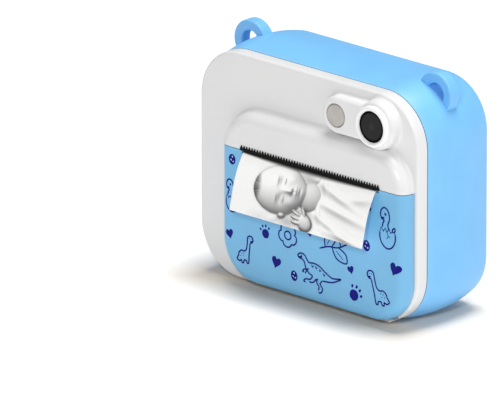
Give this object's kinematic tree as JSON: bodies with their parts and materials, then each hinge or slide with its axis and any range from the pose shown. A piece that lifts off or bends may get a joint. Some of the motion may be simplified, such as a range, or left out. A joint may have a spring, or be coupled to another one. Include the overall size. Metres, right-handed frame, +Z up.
{
  "type": "kids instant camera",
  "caption": "Chunky children's camera with a built-in thermal printer, a hinged paper door, a toothed tear bar and a rear screen with keys.",
  "frame": {"origin": "centre of the bounding box's bottom face", "axes": "+X to the lens side seen from the front (width), front faces -Y, +Z up"},
  "size_m": [0.0973, 0.0476, 0.0814],
  "materials": {
    "shell_blue": "satin",
    "plate_white": "satin",
    "door_blue": "satin",
    "pin_steel": "satin",
    "magnet_nickel": "polished",
    "keeper_steel": "satin",
    "ring_white": "gloss",
    "window_black": "polished",
    "barrel_black": "matt",
    "lens_glass": "polished",
    "board_green": "satin",
    "diffuser_grey": "satin",
    "board_white": "satin",
    "bar_black": "satin",
    "frame_black": "matt",
    "head_metal": "brushed",
    "spring_steel": "satin",
    "motor_steel": "satin",
    "gear_cream": "satin",
    "axle_steel": "satin",
    "platen_rubber": "matt",
    "shaft_steel": "satin",
    "bush_nylon": "satin",
    "tray_black": "matt",
    "spindle_white": "satin",
    "core_grey": "matt",
    "paper_white": "matt",
    "chip_black": "satin",
    "switch_black": "satin",
    "screen_metal": "satin",
    "screen_black": "polished",
    "speaker_black": "matt",
    "cell_silver": "satin",
    "socket_steel": "satin",
    "card_black": "satin",
    "cover_blue": "satin",
    "screw_steel": "satin",
    "key_white": "satin",
    "key_navy": "satin"
  },
  "bodies": {
    "housing": {"rear_shell": "shell_blue", "front_shell": "plate_white", "hinge_pin": "pin_steel", "magnet_keepers": "keeper_steel", "lens_ring": "ring_white", "lens_window": "window_black", "lens_barrel": "barrel_black", "lens_element": "lens_glass", "sensor_board": "board_green", "flash_diffuser": "diffuser_grey", "flash_board": "board_white", "tear_bar": "bar_black", "print_frame": "frame_black", "print_head": "head_metal", "head_springs": "spring_steel", "motor_body": "motor_steel", "idler_axle": "axle_steel", "roll_tray": "tray_black", "roll_spindle": "spindle_white", "paper_web": "paper_white", "main_board": "board_green", "board_parts": "chip_black", "key_switches": "switch_black", "screen_module": "screen_metal", "screen_window": "screen_black", "speaker": "speaker_black", "battery": "cell_silver", "port_board": "board_green", "usb_socket": "socket_steel", "card_socket": "socket_steel", "housing_screws": "screw_steel", "board_screws": "screw_steel"},
    "door": {"paper_door": "door_blue", "door_magnets": "magnet_nickel", "platen_bushes": "bush_nylon", "paper_strip": "paper_white"},
    "platen": {"platen_roller": "platen_rubber", "platen_shaft": "shaft_steel", "platen_gear": "gear_cream"},
    "roll": {"roll_core": "core_grey", "paper_roll": "paper_white"},
    "idler": {"idler_gear": "gear_cream"},
    "pinion": {"motor_pinion": "gear_cream"},
    "port_flap": {"port_cover": "cover_blue"},
    "card": {"memory_card": "card_black"},
    "key_up": {"key_up": "key_white"},
    "key_down": {"key_down": "key_white"},
    "key_left": {"key_left": "key_white"},
    "key_right": {"key_right": "key_white"},
    "key_ok": {"key_ok": "key_navy"},
    "key_power": {"key_power": "key_navy"},
    "key_print": {"key_print": "key_navy"}
  },
  "joints": [
    {"name": "door_hinge", "type": "hinge", "parent": "housing", "child": "door", "pos_m": [0.006, -0.01341, 0.0057], "axis": [1, 0, 0], "range_deg": [0, 75]},
    {"name": "roll_spin", "type": "hinge", "parent": "housing", "child": "roll", "pos_m": [0.0055, -0.00131, 0.0183], "axis": [1, 0, 0], "continuous": true},
    {"name": "platen_spin", "type": "hinge", "parent": "door", "child": "platen", "pos_m": [0.0055, -0.00971, 0.041], "axis": [1, 0, 0], "continuous": true},
    {"name": "idler_spin", "type": "hinge", "parent": "housing", "child": "idler", "pos_m": [0.04, 0.00043, 0.04401], "axis": [1, 0, 0], "continuous": true},
    {"name": "pinion_spin", "type": "hinge", "parent": "housing", "child": "pinion", "pos_m": [0.04, 0.00709, 0.0386], "axis": [1, 0, 0], "continuous": true},
    {"name": "port_cover_hinge", "type": "hinge", "parent": "housing", "child": "port_flap", "pos_m": [-0.04795, 0.01069, 0.0528], "axis": [0, 0, 1], "range_deg": [-110, 0]},
    {"name": "card_slide", "type": "slide", "parent": "housing", "child": "card", "axis": [-1, 0, 0], "range_m": [0, 0.015]},
    {"name": "key_up_press", "type": "slide", "parent": "housing", "child": "key_up", "axis": [0, -1, 0], "range_m": [0, 0.0006], "stiffness_N_per_m": 1200},
    {"name": "key_down_press", "type": "slide", "parent": "housing", "child": "key_down", "axis": [0, -1, 0], "range_m": [0, 0.0006], "stiffness_N_per_m": 1200},
    {"name": "key_left_press", "type": "slide", "parent": "housing", "child": "key_left", "axis": [0, -1, 0], "range_m": [0, 0.0006], "stiffness_N_per_m": 1200},
    {"name": "key_right_press", "type": "slide", "parent": "housing", "child": "key_right", "axis": [0, -1, 0], "range_m": [0, 0.0006], "stiffness_N_per_m": 1200},
    {"name": "key_ok_press", "type": "slide", "parent": "housing", "child": "key_ok", "axis": [0, -1, 0], "range_m": [0, 0.0006], "stiffness_N_per_m": 1200},
    {"name": "key_power_press", "type": "slide", "parent": "housing", "child": "key_power", "axis": [0, -1, 0], "range_m": [0, 0.0006], "stiffness_N_per_m": 1200},
    {"name": "key_print_press", "type": "slide", "parent": "housing", "child": "key_print", "axis": [0, -1, 0], "range_m": [0, 0.0006], "stiffness_N_per_m": 1200}
  ],
  "couplings": [
    {"joint": "platen_spin", "follows": "roll_spin", "ratio": 2.7778},
    {"joint": "idler_spin", "follows": "roll_spin", "ratio": -2.0833},
    {"joint": "pinion_spin", "follows": "roll_spin", "ratio": 5}
  ]
}
